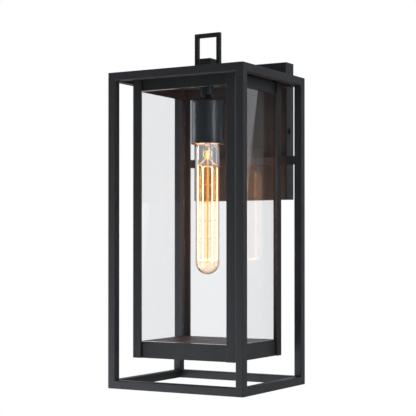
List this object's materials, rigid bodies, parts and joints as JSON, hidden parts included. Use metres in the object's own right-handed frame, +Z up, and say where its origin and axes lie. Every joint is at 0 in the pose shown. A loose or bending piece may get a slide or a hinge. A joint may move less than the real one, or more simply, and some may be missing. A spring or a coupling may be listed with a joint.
{
  "type": "outdoor wall lantern",
  "caption": "Outdoor wall lantern: black open square-tube frame around a clear glazed cage, box wall plate, square loop finial and one tubular filament bulb hanging from a cup socket.",
  "frame": {"origin": "centre of the back face of the mounting strap, on the wall, at the middle of the wall plate", "axes": "+Z up, +Y out of the back into the wall, +X to the right seen from in front of the lantern"},
  "size_m": [0.183, 0.18, 0.426],
  "materials": {
    "outer_frame": "fine-textured matte powder coat",
    "roof": "fine-textured matte powder coat",
    "cage": "fine-textured matte powder coat",
    "seal": "matte black silicone",
    "pane_glass": "clear flat glass",
    "finial": "fine-textured matte powder coat",
    "zinc": "bright zinc plate",
    "socket": "satin black paint",
    "porcelain": "white glazed porcelain",
    "brass": "bright brass",
    "bulb_glass": "clear bulb glass with a faint warm tint",
    "bulb_cap": "nickel plate",
    "insulator": "gloss black",
    "filament": "glowing filament",
    "lead_black": "matte insulation",
    "lead_white": "matte insulation",
    "wall_plate": "fine-textured matte powder coat",
    "side_screw": "satin black screw",
    "ground_green": "green plated screw"
  },
  "bodies": {
    "lantern": {"outer_post_front_left": "outer_frame", "outer_post_front_right": "outer_frame", "outer_post_rear_right": "outer_frame", "outer_post_rear_left": "outer_frame", "top_rail_front": "outer_frame", "top_rail_right": "outer_frame", "top_rail_rear": "outer_frame", "top_rail_left": "outer_frame", "bottom_rail_front": "outer_frame", "bottom_rail_right": "outer_frame", "bottom_rail_rear": "outer_frame", "bottom_rail_left": "outer_frame", "rear_crossbar": "outer_frame", "roof_pan": "roof", "ceiling_pan": "roof", "cage_post_front_left": "cage", "cage_post_front_right": "cage", "cage_post_rear_right": "cage", "cage_post_rear_left": "cage", "glazing_seal_front_left": "seal", "glazing_seal_front_right": "seal", "glazing_seal_rear_right": "seal", "glazing_seal_rear_left": "seal", "wall_gasket": "seal", "wire_grommet": "seal", "glass_pane_front": "pane_glass", "glass_pane_right": "pane_glass", "glass_pane_rear": "pane_glass", "glass_pane_left": "pane_glass", "finial_stud": "zinc", "stem_nipple": "zinc", "nipple_nut": "zinc", "mounting_strap": "zinc", "plate_screw_left": "zinc", "plate_screw_right": "zinc", "stem_collar": "socket", "socket_cup": "socket", "lampholder_body": "porcelain", "screw_shell": "brass", "centre_contact": "brass", "wire_nut_live": "insulator", "wire_nut_neutral": "insulator", "lead_live": "lead_black", "lead_neutral": "lead_white", "wall_plate": "wall_plate", "ground_screw": "ground_green"},
    "bulb": {"bulb_glass": "bulb_glass", "bulb_cap": "bulb_cap", "bulb_insulator": "insulator", "bulb_contact": "bulb_cap", "bulb_stem": "bulb_glass", "bulb_filament": "filament"},
    "floor_tray": {"floor_tray": "cage"},
    "finial": {"finial_loop": "finial", "finial_block": "finial"},
    "side_screw_left": {"side_screw_left": "side_screw"},
    "side_screw_right": {"side_screw_right": "side_screw"}
  },
  "joints": [
    {"name": "bulb_unscrew", "type": "slide", "parent": "lantern", "child": "bulb", "axis": [0, 0, -1], "range_m": [0, 0.03]},
    {"name": "floor_tray_drop", "type": "slide", "parent": "lantern", "child": "floor_tray", "axis": [0, 0, -1], "range_m": [0, 0.06]},
    {"name": "finial_turn", "type": "hinge", "parent": "lantern", "child": "finial", "pos_m": [0, -0.1005, 0.063], "axis": [0, 0, 1], "continuous": true},
    {"name": "side_screw_left_turn", "type": "hinge", "parent": "lantern", "child": "side_screw_left", "pos_m": [-0.0655, -0.0105, 0], "axis": [-1, 0, 0], "continuous": true},
    {"name": "side_screw_right_turn", "type": "hinge", "parent": "lantern", "child": "side_screw_right", "pos_m": [0.0655, -0.0105, 0], "axis": [1, 0, 0], "continuous": true}
  ]
}
